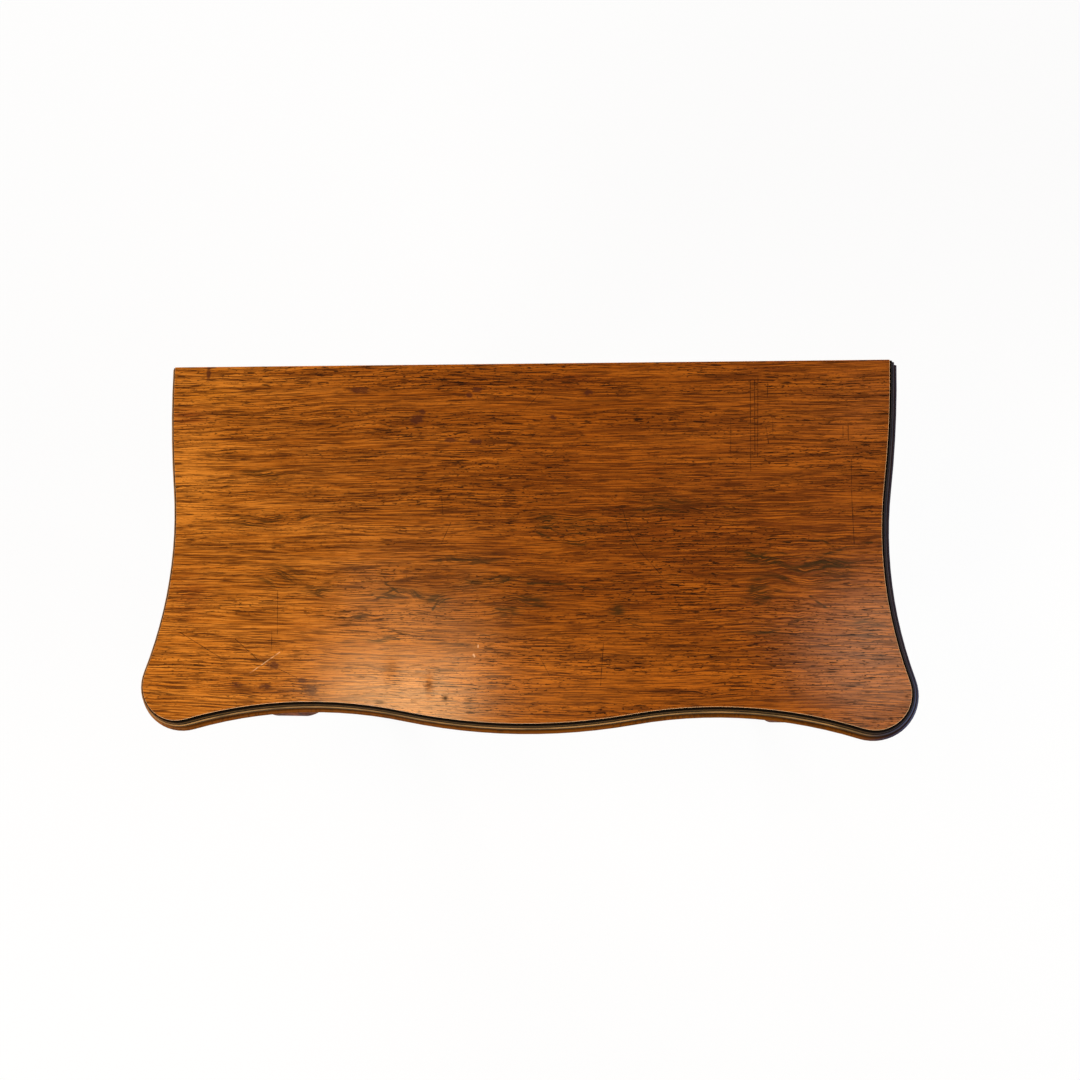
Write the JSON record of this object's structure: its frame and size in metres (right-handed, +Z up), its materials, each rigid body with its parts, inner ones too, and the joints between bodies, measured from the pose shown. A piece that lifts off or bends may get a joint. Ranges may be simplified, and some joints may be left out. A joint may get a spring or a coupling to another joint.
{
  "type": "games table",
  "caption": "Rosewood games table with a serpentine fold-over top that swivels over a card well and opens to a baize playing surface, on cabriole legs.",
  "frame": {"origin": "on the floor under the middle of the closed top", "axes": "+X along the width, the front faces -Y, the leaf hinges are at +Y, +Z up"},
  "size_m": [0.9226, 0.4471, 0.74],
  "materials": {
    "top_veneer": "faded figured rosewood, old wax polish",
    "dark_rosewood": "dark cross-grained rosewood, gloss polish",
    "rosewood": "polished rosewood",
    "carcase_wood": "bare planed softwood and beech",
    "baize": "green woollen baize",
    "brass": "aged, rubbed",
    "iron": "blackened, oiled",
    "leather": "worn"
  },
  "bodies": {
    "frame": {"front_facing": "rosewood", "back_facing": "rosewood", "left_facing": "rosewood", "right_facing": "rosewood", "front_bead": "rosewood", "back_bead": "rosewood", "left_bead": "rosewood", "right_bead": "rosewood", "front_left_leg": "rosewood", "front_left_brackets": "rosewood", "front_right_leg": "rosewood", "front_right_brackets": "rosewood", "back_left_leg": "rosewood", "back_left_brackets": "rosewood", "back_right_leg": "rosewood", "back_right_brackets": "rosewood", "front_rail": "carcase_wood", "back_rail": "carcase_wood", "left_rail": "carcase_wood", "right_rail": "carcase_wood", "pivot_bearer": "carcase_wood", "corner_blocks": "carcase_wood", "floor_cleats": "carcase_wood", "well_floor": "carcase_wood", "stop_peg": "carcase_wood", "well_lining": "baize", "pivot_bush": "brass", "bearer_screws": "iron", "bearing_pads": "leather"},
    "swivel_top": {"lower_leaf_core": "carcase_wood", "lower_leaf_moulding": "dark_rosewood", "lower_leaf_crossband": "rosewood", "lower_leaf_baize": "baize", "left_hinge_lower_strap": "brass", "right_hinge_lower_strap": "brass", "left_hinge_pin": "brass", "right_hinge_pin": "brass", "hinge_lower_screws": "brass", "pivot_plate": "iron", "pivot_bolt": "iron", "pivot_washer": "iron", "pivot_nut": "iron", "plate_screws": "iron"},
    "folding_leaf": {"upper_leaf_core": "carcase_wood", "upper_leaf_veneer": "top_veneer", "upper_leaf_moulding": "dark_rosewood", "upper_leaf_crossband": "rosewood", "upper_leaf_baize": "baize", "left_hinge_upper_strap": "brass", "right_hinge_upper_strap": "brass", "hinge_upper_screws": "brass"}
  },
  "joints": [
    {"name": "top_swivel", "type": "hinge", "parent": "frame", "child": "swivel_top", "pos_m": [0.11005, 0.11005, 0.697], "axis": [0, 0, 1], "range_deg": [0, 90]},
    {"name": "leaf_fold", "type": "hinge", "parent": "swivel_top", "child": "folding_leaf", "pos_m": [0, 0.2201, 0.7187], "axis": [-1, 0, 0], "range_deg": [0, 180]}
  ]
}
